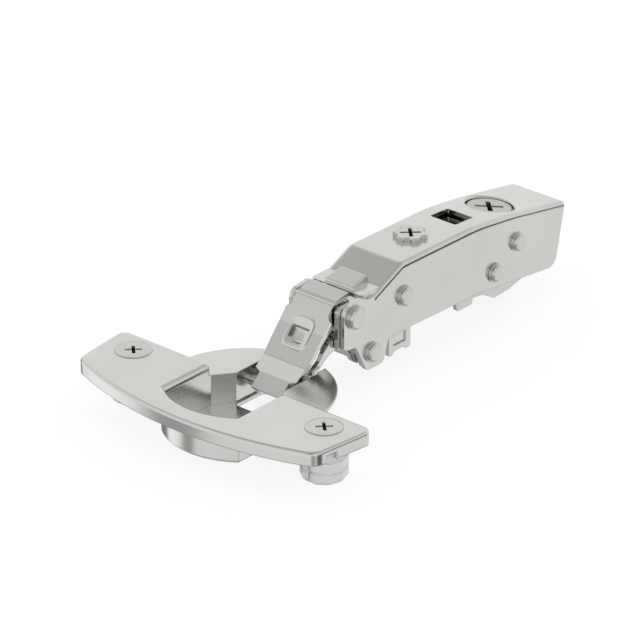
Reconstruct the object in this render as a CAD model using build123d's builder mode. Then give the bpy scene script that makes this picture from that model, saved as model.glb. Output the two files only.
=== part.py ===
"""Concealed cup hinge for a cabinet door, shown open, in millimetres.

The origin is on the cup's axis at the level of the door face. X runs along the
hinge axis, Y from the cup towards the arm, and Z out of the door face.
"""
from math import atan2, cos, degrees, hypot, radians, sin
import os

from build123d import *

# Cup and flange
cup_radius = 17.5
cup_depth = 7.3
cup_wall = 0.9
well_half_width = 9.7
neck_half_width = 6.5
well_neck_y = 4.4
rim_radius = 18.8
rim_thickness = 0.5
wing_height = 3.0
wing_sheet = 1.0
wing_front_y = -21.8
wing_front_bend = 85.0
wing_back_y = 0.28
wing_front_half = 32.4
wing_back_half = 34.3
wing_front_corner = 3.6
wing_back_corner = 2.2
wing_edge_radius = 0.7
well_edge_radius = 1.4
cup_foot_radius = 0.6
window_half_width = 6.05
window_front_y = 3.5
window_back_y = 15.4
rim_slot_depth = 2.6
skirt_notch_y = -11.2
skirt_notch_length = 2.8
skirt_notch_height = 1.6

# Flange screws and dowels
screw_spacing = 52.0
screw_row_y = -5.5
screw_head_radius = 3.94
screw_shank_radius = 1.9
screw_length = 9.2
screw_seat_clearance = 0.06
cross_recess_span = 3.6
cross_recess_width = 0.75
cross_recess_depth = 1.3
dimple_wall = 0.96
dowel_radius = 4.95
dowel_length = 8.0
dowel_sides = 10
dowel_groove_depth = 0.3
dowel_groove_width = 0.5
dowel_split_width = 0.5
dowel_tip_chamfer = 0.8
dowel_bore_clearance = 0.06

# Linkage pivots, as (y, z)
cup_pivot_outer = (9.6, -3.0)
cup_pivot_inner = (13.6, -1.1)
arm_pivot_outer = (25.5, 9.8)
arm_pivot_inner = (31.0, -0.2)
cup_pin_radius = 1.25
running_clearance = 0.05

# Outer link
link_sheet = 1.1
link_side_clearance = 0.2
outer_link_crest_inset = 0.3
outer_link_web_half = 5.9
outer_link_foot_eye = 2.3
outer_link_arm_eye = 2.9
recess_centre_y = 16.6
recess_width = 4.6
recess_length = 5.0
recess_depth = 0.65
recess_wall_taper = 28

# Inner link
inner_link_cheek = 1.05
inner_link_cup_eye = 2.1
inner_link_arm_eye = 3.4
open_pivot_shift = (-0.95, 0.66)
open_pivot_travel = 1.6
open_pivot_clearance = 0.58

# Arm housing and the channels nested in it
housing_half_width = 7.53
housing_sheet = 1.0
housing_bend_radius = 1.3
channel_gap = 0.1
channel_sheet = 0.95
lip_front_y = 28.4
lip_half_width = 6.9
lip_height = 13.4
nose_half_width = 3.7
nose_length = 5.8
nose_taper = 0.5
nose_rise = 15.1
nose_edge_radius = 0.4

# Rivets
rivet_head_height = 1.2
rivet_seat_clearance = 0.03
guide_rivet_play = 0.35
rivet_collar_height = 0.35
rivet_collar_extra = 0.3
upper_rivet_head = 2.35
upper_rivet_shank = 1.5
lower_rivet_head = 1.95
lower_rivet_shank = 1.25
spring_rivet_place = (41.3, 9.0)
spring_rivet_head = 2.0
rocker_rivet_place = (78.9, 8.0)
guide_rivet_place = (71.4, 3.4)
rear_rivet_head = 1.85
rear_rivet_shank = 1.45

# Adjusters
side_screw_y = 52.2
side_screw_head = 3.7
side_screw_shank = 2.1
side_screw_head_height = 0.95
side_screw_length = 7.5
side_screw_clearance = 0.1
side_screw_notches = 6
side_screw_notch_radius = 0.95
retaining_collar_radius = 3.0
retaining_collar_height = 0.5
rocker_front_y = 47.4
rocker_back_y = 84.5
rocker_web_drop = 1.85
nut_hole_clearance = 0.25
hand_hole_y = 65.9
hand_hole_width = 7.0
hand_hole_length = 6.0
cam_y = 78.6
cam_radius = 5.05
cam_dish_radius = 5.9
cam_thickness = 1.3
cam_sink = 0.5
cam_axle_radius = 3.6
cam_throw = 2.3
cam_finger_radius = 1.2
cam_turn = 60.0
cam_rim_clearance = 0.35
cam_web_gap = 0.3
finger_clearance = 0.25
slide_slope = 7.0
slot_end_clearance = 0.15
slot_side_clearance = 0.1

# Mounting carriage
carriage_back_y = 91.4
carriage_back_z = 8.0
tail_opening_z = 5.9

# Release catch
catch_pivot = (86.6, 4.6)
catch_pin_radius = 1.2
catch_sheet = 1.2
catch_side_clearance = 0.25

# Wound springs
closing_wire_radius = 0.55
closing_spring_turns = 4
catch_wire_radius = 0.35
catch_spring_side_gap = 0.3
coil_gap = 0.12
wire_sides = 8

# Sizes that follow from the ones above
housing_inner_half = housing_half_width - housing_sheet
channel_half_width = housing_inner_half - channel_gap
channel_inner_half = channel_half_width - channel_sheet
link_half_width = channel_inner_half - link_side_clearance
inner_link_inner_half = link_half_width - inner_link_cheek
outer_link_foot_half = inner_link_inner_half - link_side_clearance
outer_link_crest_half = link_half_width - outer_link_crest_inset
carriage_half_width = channel_inner_half - channel_gap
carriage_inner_half = carriage_half_width - channel_sheet
pin_half_length = neck_half_width + cup_wall
screw_bore_radius = screw_shank_radius + screw_seat_clearance
screw_head_cone = screw_head_radius - screw_shank_radius
dimple_bottom = wing_height - screw_head_cone - dimple_wall


def side_face(*points, radius=0.0):
    """Closed outline in the YZ plane from (y, z) points, with rounded corners."""
    with BuildSketch(Plane.YZ) as outline:
        with BuildLine():
            FilletPolyline(*points, radius=radius, close=True)
        make_face()
    return outline.sketch


def disc_face(centre, radius):
    """Disc in the YZ plane about a (y, z) point."""
    with BuildSketch(Plane.YZ) as outline:
        with Locations(centre):
            Circle(radius)
    return outline.sketch


def widen(face, half_width, mode=Mode.ADD):
    """Extrude an outline of the YZ plane to both sides of the middle plane."""
    return extrude(face, amount=half_width, both=True, mode=mode)


def well_face(level, growth):
    """Plan of the cup's well, a wide round front that narrows to a neck at the back."""
    radius = cup_radius - cup_wall + growth
    front_half = well_half_width + growth
    neck_half = neck_half_width + growth
    shoulder_y = wing_back_y + 0.26 * growth
    neck_y = well_neck_y + 0.26 * growth
    front_y = -((radius**2 - front_half**2) ** 0.5)
    back_y = (radius**2 - neck_half**2) ** 0.5
    with BuildSketch(Plane.XY.offset(level)) as plan:
        with BuildLine():
            ThreePointArc((-front_half, front_y), (0, -radius), (front_half, front_y))
            Polyline(
                (front_half, front_y),
                (front_half, shoulder_y),
                (neck_half, neck_y),
                (neck_half, back_y),
            )
            ThreePointArc((neck_half, back_y), (0, radius), (-neck_half, back_y))
            Polyline(
                (-neck_half, back_y),
                (-neck_half, neck_y),
                (-front_half, shoulder_y),
                (-front_half, front_y),
            )
        make_face()
    return plan.sketch


def cut_cross(plane, depth, span, width, turn=45):
    """Cut a tapered cross for a screwdriver, downwards from a plane."""
    with BuildSketch(plane) as cross:
        with Locations(Location((0, 0), turn)):
            Rectangle(span, width)
            Rectangle(width, span)
    extrude(cross.sketch, amount=-depth, taper=12, mode=Mode.SUBTRACT)


# Cup with its flange wings
front_end_y = wing_front_y + wing_front_bend - (wing_front_bend**2 - wing_front_half**2) ** 0.5
with BuildSketch() as wing_plan:
    with BuildLine():
        ThreePointArc(
            (-wing_front_half, front_end_y), (0, wing_front_y), (wing_front_half, front_end_y)
        )
        Polyline(
            (wing_front_half, front_end_y),
            (wing_back_half, wing_back_y),
            (-wing_back_half, wing_back_y),
            (-wing_front_half, front_end_y),
        )
    make_face()
    fillet(wing_plan.vertices().group_by(Axis.Y)[0], wing_front_corner)
    fillet(wing_plan.vertices().group_by(Axis.Y)[-1], wing_back_corner)

with BuildPart() as hinge_cup:
    with BuildSketch() as wing_ring:
        add(wing_plan.sketch)
        add(well_face(0, 0), mode=Mode.SUBTRACT)
    extrude(wing_ring.sketch, amount=wing_height)
    with BuildSketch() as wing_hollow:
        offset(wing_plan.sketch, amount=-wing_sheet)
        add(well_face(0, cup_wall), mode=Mode.SUBTRACT)
    extrude(wing_hollow.sketch, amount=wing_height - wing_sheet, mode=Mode.SUBTRACT)
    top_edges = hinge_cup.faces().sort_by(Axis.Z)[-1].edges()
    well_edges = top_edges.filter_by(
        lambda edge: abs(edge.center().X) < well_half_width + 0.01
        and -cup_radius < edge.center().Y < wing_back_y - 0.01
    )
    fillet(well_edges, well_edge_radius)
    top_edges = hinge_cup.faces().sort_by(Axis.Z)[-1].edges()
    outer_edges = top_edges.filter_by(
        lambda edge: abs(edge.center().X) > well_half_width + well_edge_radius + 0.01
        or edge.center().Y < wing_front_y + 0.5
    )
    fillet(outer_edges, wing_edge_radius)
    with BuildSketch() as rim_plan:
        Circle(rim_radius)
        with Locations((0, -rim_radius + wing_back_y - wing_sheet)):
            Rectangle(2 * rim_radius, 2 * rim_radius, mode=Mode.SUBTRACT)
    extrude(rim_plan.sketch, amount=rim_thickness)
    extrude(well_face(-cup_depth, cup_wall), amount=cup_depth)
    fillet(hinge_cup.faces().sort_by(Axis.Z)[0].edges(), cup_foot_radius)
    extrude(
        well_face(cup_wall - cup_depth, 0),
        amount=cup_depth + rim_thickness,
        mode=Mode.SUBTRACT,
    )
    with BuildSketch(Plane.XY.offset(-cup_depth)) as floor_window:
        with Locations((0, (window_front_y + window_back_y) / 2)):
            RectangleRounded(2 * window_half_width, window_back_y - window_front_y, 0.8)
    extrude(floor_window.sketch, amount=2 * cup_wall, mode=Mode.SUBTRACT)
    with BuildSketch(Plane.XY.offset(rim_thickness)) as rim_slot:
        with Locations((0, (window_back_y + rim_radius) / 2 + 1)):
            Rectangle(2 * window_half_width, rim_radius - window_back_y + 2)
    extrude(rim_slot.sketch, amount=-rim_slot_depth, mode=Mode.SUBTRACT)
    for pivot in (cup_pivot_outer, cup_pivot_inner):
        widen(disc_face(pivot, cup_pin_radius), pin_half_length, mode=Mode.SUBTRACT)
    for side in (-1, 1):
        place = (side * screw_spacing / 2, screw_row_y)
        with BuildSketch(Plane.XY.offset(wing_height - wing_sheet / 2)) as dimple:
            with Locations(place):
                Circle(screw_head_radius + dimple_wall - wing_sheet / 2)
        dimple_height = wing_height - wing_sheet / 2 - dimple_bottom
        extrude(dimple.sketch, amount=-dimple_height, taper=40)
        with BuildSketch(Plane.XY.offset(wing_height)) as countersink:
            with Locations(place):
                Circle(screw_head_radius + screw_seat_clearance)
        extrude(countersink.sketch, amount=-screw_head_cone, taper=45, mode=Mode.SUBTRACT)
        with BuildSketch(Plane.XY.offset(wing_height)) as screw_bore:
            with Locations(place):
                Circle(screw_bore_radius)
        extrude(screw_bore.sketch, amount=-wing_height, mode=Mode.SUBTRACT)
        with BuildSketch(Plane.XY) as skirt_notch:
            with Locations((side * wing_back_half, skirt_notch_y)):
                Rectangle(6 * wing_sheet, skirt_notch_length)
        extrude(skirt_notch.sketch, amount=skirt_notch_height, mode=Mode.SUBTRACT)
hinge_cup.part.label = "hinge_cup"


# Flange screws, and the dowels that they spread in the door
def flange_screw(side):
    """Countersunk screw with a cross recess, its head flush with the wing."""
    axis_x = side * screw_spacing / 2
    tip = wing_height - screw_length
    plane = Plane.XZ.offset(-screw_row_y)
    with BuildPart() as screw:
        with BuildSketch(plane) as half_section:
            with BuildLine():
                Polyline(
                    (axis_x, tip),
                    (axis_x + 0.5 * screw_shank_radius, tip),
                    (axis_x + screw_shank_radius, tip + screw_shank_radius),
                    (axis_x + screw_shank_radius, wing_height - screw_head_cone),
                    (axis_x + screw_head_radius, wing_height),
                    (axis_x + screw_head_radius - 0.3, wing_height + 0.15),
                    (axis_x, wing_height + 0.25),
                    close=True,
                )
            make_face()
        revolve(half_section.sketch, axis=Axis((axis_x, screw_row_y, 0), (0, 0, 1)))
        cut_cross(
            Plane((axis_x, screw_row_y, wing_height + 0.25)),
            cross_recess_depth,
            cross_recess_span,
            cross_recess_width,
        )
    return screw


def press_in_dowel(side):
    """Faceted plastic dowel with ring grooves, a split and a chamfered tip."""
    centre = (side * screw_spacing / 2, screw_row_y)
    with BuildPart() as dowel:
        with BuildSketch(Plane.XY.offset(dimple_bottom)) as body:
            with Locations(centre):
                RegularPolygon(dowel_radius, dowel_sides)
        extrude(body.sketch, amount=-dowel_length)
        chamfer(dowel.faces().sort_by(Axis.Z)[0].edges(), dowel_tip_chamfer)
        for drop in (0.3, 0.62):
            with BuildSketch(Plane.XY.offset(dimple_bottom - drop * dowel_length)) as groove:
                with Locations(centre):
                    Circle(dowel_radius + 1)
                    RegularPolygon(
                        dowel_radius - dowel_groove_depth, dowel_sides, mode=Mode.SUBTRACT
                    )
            extrude(groove.sketch, amount=-dowel_groove_width, mode=Mode.SUBTRACT)
        with BuildSketch(Plane.XY.offset(dimple_bottom)) as bore:
            with Locations(centre):
                Circle(screw_shank_radius + dowel_bore_clearance)
        extrude(bore.sketch, amount=-dowel_length, mode=Mode.SUBTRACT)
        with BuildSketch(Plane.XY.offset(dimple_bottom - dowel_length)) as split:
            with Locations((centre[0], centre[1] - dowel_radius)):
                Rectangle(dowel_split_width, dowel_radius)
        extrude(split.sketch, amount=0.8 * dowel_length, mode=Mode.SUBTRACT)
    return dowel


flange_screw_left = flange_screw(-1)
flange_screw_left.part.label = "flange_screw_left"
flange_screw_right = flange_screw(1)
flange_screw_right.part.label = "flange_screw_right"
press_in_dowel_left = press_in_dowel(-1)
press_in_dowel_left.part.label = "press_in_dowel_left"
press_in_dowel_right = press_in_dowel(1)
press_in_dowel_right.part.label = "press_in_dowel_right"

# Pins across the cup
with BuildPart() as outer_link_pin:
    widen(disc_face(cup_pivot_outer, cup_pin_radius), pin_half_length)
    chamfer(outer_link_pin.edges().filter_by(GeomType.CIRCLE), 0.2)
outer_link_pin.part.label = "outer_link_pin"

with BuildPart() as inner_link_pin:
    widen(disc_face(cup_pivot_inner, cup_pin_radius), pin_half_length)
    chamfer(inner_link_pin.edges().filter_by(GeomType.CIRCLE), 0.2)
inner_link_pin.part.label = "inner_link_pin"

# Outer link, a stamped channel
link_rise = arm_pivot_outer[1] - cup_pivot_outer[1]
link_run = arm_pivot_outer[0] - cup_pivot_outer[0]
link_angle = atan2(link_rise, link_run)
link_length = hypot(link_rise, link_run)
link_plane = Plane(
    origin=(0, cup_pivot_outer[0], cup_pivot_outer[1]),
    x_dir=(1, 0, 0),
    z_dir=(0, -sin(link_angle), cos(link_angle)),
)


def link_plan(inset):
    """Outline of the outer link seen square to its web, narrow at the foot."""
    foot = outer_link_foot_half - inset
    body = link_half_width - inset
    crest = outer_link_crest_half - inset
    right = [
        (foot, -6.0),
        (foot, 6.0),
        (body, 8.4),
        (body, 15.0),
        (crest, 19.0),
        (crest, link_length + 6.0),
    ]
    left = [(-x, y) for x, y in reversed(right)]
    with BuildSketch(link_plane) as plan:
        with BuildLine():
            Polyline(*right, *left, close=True)
        make_face()
    return plan.sketch


web_low, web_high = (12.1, 2.3), (17.3, 8.0)
with BuildSketch(link_plane) as web_plan:
    right = [
        (outer_link_foot_half, -6.0),
        (outer_link_foot_half, 1.2),
        (outer_link_web_half - 0.3, 2.0),
        (outer_link_web_half, 9.0),
        (outer_link_web_half, 16.2),
        (outer_link_crest_half, 16.9),
        (outer_link_crest_half, link_length + 6.0),
    ]
    left = [(-x, y) for x, y in reversed(right)]
    with BuildLine():
        Polyline(*right, *left, close=True)
    make_face()

with BuildPart() as outer_link_web:
    web_profile = side_face(
        (6.2, -2.6),
        (9.1, 0.0),
        web_low,
        web_high,
        (22.0, 13.5),
        (26.5, 14.5),
        (26.7, 13.45),
        (22.5, 12.45),
        (18.1, 7.3),
        (12.85, 1.5),
        (9.8, -0.85),
        (6.95, -3.4),
        radius=(0, 1.5, 3, 6, 2.2, 0.4, 0, 1.2, 5, 2, 0.6, 0),
    )
    widen(web_profile, outer_link_web_half)
    extrude(web_plan.sketch, amount=25, both=True, mode=Mode.INTERSECT)
    web_angle = atan2(web_high[1] - web_low[1], web_high[0] - web_low[0])
    recess_centre_z = web_low[1] + (recess_centre_y - web_low[0]) * sin(web_angle) / cos(web_angle)
    recess_plane = Plane(
        origin=(0, recess_centre_y, recess_centre_z),
        x_dir=(1, 0, 0),
        z_dir=(0, -sin(web_angle), cos(web_angle)),
    )
    with BuildSketch(recess_plane.offset(-0.5 * link_sheet)) as coined_bulge:
        RectangleRounded(recess_width + 0.9, recess_length + 0.9, 1.4)
    extrude(coined_bulge.sketch, amount=-0.5 * link_sheet - recess_depth, taper=recess_wall_taper)
    with BuildSketch(recess_plane) as coined_recess:
        RectangleRounded(recess_width, recess_length, 1.0)
    extrude(
        coined_recess.sketch,
        amount=-recess_depth,
        taper=recess_wall_taper,
        mode=Mode.SUBTRACT,
    )

with BuildPart() as outer_link:
    cheek_profile = side_face(
        (7.0, -2.4),
        (9.6, 0.0),
        (12.4, 2.2),
        (17.6, 7.9),
        (20.9, 11.8),
        (23.6, 12.2),
        (24.0, 7.9),
        (20.4, 7.6),
        (17.2, 5.0),
        (13.6, 1.0),
        (11.4, -2.0),
        (8.6, -4.6),
        radius=(0.4, 0, 0, 0, 1.0, 0, 0, 3, 3, 2, 1, 1),
    )
    widen(cheek_profile, link_half_width)
    widen(disc_face(cup_pivot_outer, outer_link_foot_eye), link_half_width)
    widen(disc_face(arm_pivot_outer, outer_link_arm_eye), link_half_width)
    extrude(link_plan(0), amount=25, both=True, mode=Mode.INTERSECT)
    extrude(link_plan(link_sheet), amount=25, both=True, mode=Mode.SUBTRACT)
    add(outer_link_web.part)
    pin_bore = cup_pin_radius + running_clearance
    widen(disc_face(cup_pivot_outer, pin_bore), link_half_width, mode=Mode.SUBTRACT)
    rivet_bore = upper_rivet_shank + running_clearance
    widen(disc_face(arm_pivot_outer, rivet_bore), link_half_width, mode=Mode.SUBTRACT)
outer_link.part.label = "outer_link"


# Inner link, a stamped channel with a cranked neck that clears the cup's rim
slot_centre = (
    arm_pivot_inner[0] + open_pivot_shift[0],
    arm_pivot_inner[1] + open_pivot_shift[1],
)
with BuildPart() as inner_link:
    cheek_profile = side_face(
        (14.4, -3.0),
        (15.7, -1.2),
        (16.9, 0.3),
        (18.2, 1.25),
        (20.2, 2.5),
        (22.6, 3.2),
        (25.5, 1.6),
        (28.0, -2.0),
        (31.0, 3.6),
        (27.0, 5.2),
        (23.0, 5.7),
        (20.0, 5.0),
        (18.1, 3.4),
        (17.0, 2.0),
        (15.2, 0.8),
        (12.6, -1.0),
        radius=(0, 0, 1, 1, 2, 2, 2, 0, 0, 3, 3, 2, 1, 0.8, 0, 0),
    )
    widen(cheek_profile, link_half_width)
    widen(disc_face(cup_pivot_inner, inner_link_cup_eye), link_half_width)
    widen(disc_face(slot_centre, inner_link_arm_eye), link_half_width)
    widen(side_face((5, -9), (5, 9), (40, 9), (40, -9)), inner_link_inner_half, Mode.SUBTRACT)
    web_profile = side_face(
        (20.2, 2.5),
        (22.6, 3.2),
        (25.5, 1.6),
        (27.4, -1.1),
        (28.3, -0.5),
        (26.3, 2.4),
        (22.8, 4.3),
        (19.9, 3.5),
        radius=(0, 2, 2, 0, 0, 3, 3, 0),
    )
    widen(web_profile, inner_link_inner_half)
    widen(disc_face(cup_pivot_inner, pin_bore), link_half_width, mode=Mode.SUBTRACT)
    with BuildSketch(Plane.YZ) as open_pivot_slot:
        slot_angle = degrees(atan2(open_pivot_shift[1], open_pivot_shift[0]))
        slot_radius = lower_rivet_shank + open_pivot_clearance
        with Locations(Location(slot_centre, slot_angle)):
            SlotCenterToCenter(open_pivot_travel, 2 * slot_radius)
    widen(open_pivot_slot.sketch, link_half_width, mode=Mode.SUBTRACT)
inner_link.part.label = "inner_link"

# Arm housing, a folded channel that is open below and behind
top_line = [(40.8, 16.55), (65.9, 16.3), (77.9, 14.8), (95.4, 11.7)]


def top_height(y):
    """Height and slope of the arm's top sheet, as (z, degrees)."""
    for (y0, z0), (y1, z1) in zip(top_line, top_line[1:]):
        if y <= y1:
            break
    slope = (z1 - z0) / (y1 - y0)
    return z0 + slope * (y - y0), degrees(atan2(z1 - z0, y1 - y0))


def top_plane(y, slope=None):
    """Plane on the arm's top sheet, with X across the arm and Z outwards."""
    z, local_slope = top_height(y)
    tilt = radians(local_slope if slope is None else slope)
    return Plane(origin=(0, y, z), x_dir=(1, 0, 0), z_dir=(0, -sin(tilt), cos(tilt)))


def lowered(points, drop):
    """Copy of (y, z) points, moved down."""
    return [(y, z - drop) for y, z in points]


# Front lip of the arm's top sheet with its stop nose, made first and then joined on
nose_front_y = lip_front_y + 0.6
nose_back_y = nose_front_y + nose_length
with BuildPart() as arm_nose:
    with BuildSketch(Plane.XY.offset(nose_rise + 1.0)) as nose_plan:
        with BuildLine():
            Polyline(
                (-nose_half_width, nose_front_y),
                (nose_half_width, nose_front_y),
                (nose_half_width - nose_taper, nose_back_y),
                (nose_taper - nose_half_width, nose_back_y),
                close=True,
            )
        make_face()
    extrude(nose_plan.sketch, amount=-4, taper=-8)
    nose_profile = side_face(
        (nose_front_y - 0.3, lip_height - 0.6),
        (nose_front_y + 0.1, nose_rise - 1.1),
        (nose_back_y - 0.7, nose_rise),
        (nose_back_y, lip_height),
        (nose_back_y - 0.9, lip_height - 0.6),
        radius=(0, 0.6, 0.5, 0, 0),
    )
    widen(nose_profile, nose_half_width + 2, mode=Mode.INTERSECT)
    nose_edges = arm_nose.edges().filter_by(
        lambda edge: edge.center().Z > lip_height + 0.5 and abs(edge.center().X) > 2
    )
    fillet(nose_edges, nose_edge_radius)
    with BuildSketch(Plane.XY.offset(lip_height)) as lip_plan:
        with Locations((0, lip_front_y + 3)):
            RectangleRounded(2 * lip_half_width, 6, 0.8)
    extrude(lip_plan.sketch, amount=-housing_sheet)
    lip_end = nose_back_y - 0.4
    widen(
        side_face((lip_end, 10), (lip_end, 14), (lip_end + 9, 18), (lip_end + 9, 10)),
        lip_half_width,
        mode=Mode.SUBTRACT,
    )

with BuildPart() as arm_housing:
    top_front_y = 31.8
    bent_length = side_face(
        (top_front_y, -9),
        (top_front_y, 12.4),
        *top_line,
        (99, 11.06),
        (99, -9),
        radius=(0, 0, 2.5, 60, 80, 0, 0, 0),
    )
    widen(bent_length, housing_half_width)
    sheet_edges = arm_housing.edges().filter_by(
        lambda edge: edge.center().Z > 8
        and abs(abs(edge.center().X) - housing_half_width) < 0.01
        and abs((edge % 0.5).Y) > 0.7
    )
    fillet(sheet_edges, housing_bend_radius)
    widen(side_face((18, -9), (18, 14), (top_front_y, 14), (top_front_y, -9)), housing_half_width)
    housing_profile = side_face(
        (22.1, 3.4),
        (22.1, 12.6),
        (27.6, 13.3),
        (29.6, 12.35),
        (top_front_y, 12.4),
        *top_line,
        (92.4, -2.7),
        (65.9, 0.4),
        (39.2, 1.1),
        (36.4, 1.1),
        (34.7, -4.0),
        (29.3, -4.0),
        (25.9, 2.7),
        (23.6, 2.9),
        radius=(0.6, 2.2, 1.2, 1, 1.5, 2.5, 60, 80, 0.4, 2.6, 40, 0, 1, 1.4, 1.2, 0.8, 0.6),
    )
    widen(housing_profile, housing_half_width, mode=Mode.INTERSECT)
    widen(
        side_face(
            (18, -9),
            (18, 20),
            (30.9, 20),
            (30.9, 11.2),
            (32.0, 11.4),
            *lowered(top_line, housing_sheet),
            (99, 10.2),
            (99, -9),
        ),
        housing_inner_half,
        mode=Mode.SUBTRACT,
    )
    add(arm_nose.part)
    for place, shank in (
        (arm_pivot_outer, upper_rivet_shank),
        (arm_pivot_inner, lower_rivet_shank),
        (spring_rivet_place, upper_rivet_shank),
        (rocker_rivet_place, rear_rivet_shank),
        (guide_rivet_place, rear_rivet_shank + guide_rivet_play),
    ):
        bore_face = disc_face(place, shank + rivet_seat_clearance)
        widen(bore_face, housing_half_width, mode=Mode.SUBTRACT)
    with BuildSketch(top_plane(side_screw_y)) as screw_hole:
        Circle(side_screw_shank + side_screw_clearance)
    extrude(screw_hole.sketch, amount=-3, mode=Mode.SUBTRACT)
    with BuildSketch(top_plane(hand_hole_y)) as hand_hole:
        RectangleRounded(hand_hole_width, hand_hole_length, 0.4)
    extrude(hand_hole.sketch, amount=-3, mode=Mode.SUBTRACT)
    with BuildSketch(top_plane(cam_y, -slide_slope)) as cam_hole:
        Circle(cam_radius + cam_rim_clearance)
    extrude(cam_hole.sketch, amount=4, both=True, mode=Mode.SUBTRACT)
    with BuildSketch(top_plane(cam_y, -slide_slope)) as cam_dish:
        Circle(cam_dish_radius)
    extrude(cam_dish.sketch, amount=-cam_sink, taper=45, mode=Mode.SUBTRACT)
arm_housing.part.label = "arm_housing"


def rivet(place, shank, head, play=0.0):
    """Rivet across the arm, with a collared round head on each side."""
    seat = housing_half_width + play
    collar = seat + rivet_collar_height
    tip = seat + rivet_head_height
    with BuildPart() as body:
        with BuildSketch(Plane(origin=(0, *place), x_dir=(1, 0, 0), z_dir=(0, 0, 1))) as half:
            with BuildLine():
                Polyline((0, 0), (tip, 0), (tip, head - 0.3), (tip - 0.3, head), (collar, head))
                Polyline(
                    (collar, head),
                    (collar, head + rivet_collar_extra),
                    (seat, head + rivet_collar_extra),
                    (seat, shank),
                    (0, shank),
                    (0, 0),
                )
            make_face()
        revolve(axis=Axis((0, *place), (1, 0, 0)))
        mirror(about=Plane.YZ)
    return body


upper_pivot_rivet = rivet(arm_pivot_outer, upper_rivet_shank, upper_rivet_head)
upper_pivot_rivet.part.label = "upper_pivot_rivet"
lower_pivot_rivet = rivet(arm_pivot_inner, lower_rivet_shank, lower_rivet_head)
lower_pivot_rivet.part.label = "lower_pivot_rivet"
spring_rivet = rivet(spring_rivet_place, upper_rivet_shank, spring_rivet_head)
spring_rivet.part.label = "spring_rivet"
rocker_pivot_rivet = rivet(rocker_rivet_place, rear_rivet_shank, rear_rivet_head)
rocker_pivot_rivet.part.label = "rocker_pivot_rivet"
guide_rivet = rivet(guide_rivet_place, rear_rivet_shank, rear_rivet_head, play=0.05)
guide_rivet.part.label = "guide_rivet"

# Bearing channel, the folded strip inside the arm's front that carries the links
web_line = [(33.0, 10.65), (40.9, 14.35), (46.0, 14.32)]
with BuildPart() as bearing_channel:
    channel_profile = side_face(
        (21.4, 3.4),
        (21.4, 11.9),
        (22.6, 12.5),
        (27.4, 12.8),
        (29.2, 11.7),
        (30.6, 11.1),
        (32.0, 11.28),
        (33.0, 11.72),
        (40.9, 15.4),
        (46.0, 15.34),
        (46.0, 4.0),
        (44.8, 1.9),
        (44.8, -4.4),
        (43.4, -4.4),
        (42.9, -3.7),
        (39.6, -3.7),
        (39.1, -4.4),
        (37.8, -4.4),
        (37.8, 1.4),
        (36.2, 1.4),
        (34.5, -3.6),
        (29.5, -3.6),
        (26.2, 2.9),
        radius=0.3,
    )
    widen(channel_profile, channel_half_width)
    widen(
        side_face((18, -9), (18, 20), (33.0, 20), *web_line, (50, 14.3), (50, -9)),
        channel_inner_half,
        mode=Mode.SUBTRACT,
    )
    for place, shank in (
        (arm_pivot_outer, upper_rivet_shank),
        (arm_pivot_inner, lower_rivet_shank),
        (spring_rivet_place, upper_rivet_shank),
    ):
        bore_face = disc_face(place, shank + rivet_seat_clearance)
        widen(bore_face, channel_half_width, mode=Mode.SUBTRACT)
    for side in (-1, 1):
        with BuildSketch(Plane.YZ.offset(side * channel_half_width)) as emboss:
            with Locations((41.3, -1.3)):
                RectangleRounded(4.2, 2.4, 0.4)
        extrude(emboss.sketch, amount=-side * 0.35, taper=20, mode=Mode.SUBTRACT)
bearing_channel.part.label = "bearing_channel"


def coil_spring(place, coil_radius, wire, turns, entry_leg, exit_leg):
    """Torsion spring about an axis along X; each leg is its bends as (y, z) steps."""
    pitch = 2 * wire + coil_gap
    height = pitch * turns
    with BuildPart() as spring:
        with BuildLine() as path:
            coil = Helix(pitch, height, coil_radius, (-height / 2, *place), (1, 0, 0))
            start_run = coil @ 0 - (coil % 0) * entry_leg[0]
            bend_y, bend_z = entry_leg[1]
            FilletPolyline(
                start_run + Vector(0, bend_y, bend_z),
                start_run,
                coil @ 0,
                radius=2 * wire,
            )
            end_run = coil @ 1 + (coil % 1) * exit_leg[0]
            bend_y, bend_z = exit_leg[1]
            FilletPolyline(
                coil @ 1,
                end_run,
                end_run + Vector(0, bend_y, bend_z),
                radius=2 * wire,
            )
        wire_start = path.line @ 0
        with BuildSketch(Plane(origin=wire_start, z_dir=path.line % 0)) as section:
            RegularPolygon(wire, wire_sides)
        sweep(section.sketch, path=path.line)
    return spring


closing_coil_radius = upper_rivet_shank + closing_wire_radius + 0.15
closing_spring = coil_spring(
    spring_rivet_place,
    closing_coil_radius,
    closing_wire_radius,
    closing_spring_turns,
    entry_leg=(2.6, (1.3, 2.35)),
    exit_leg=(4.6, (-1.6, -1.0)),
)
closing_spring.part.label = "closing_spring"


def slot_face(place, half_length, half_width, angle):
    """Rounded slot in the YZ plane about a (y, z) point, measured past its pin."""
    with BuildSketch(Plane.YZ) as outline:
        with Locations(Location((*place, 0), angle)):
            SlotCenterToCenter(2 * half_length, 2 * half_width)
    return outline.sketch


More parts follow.
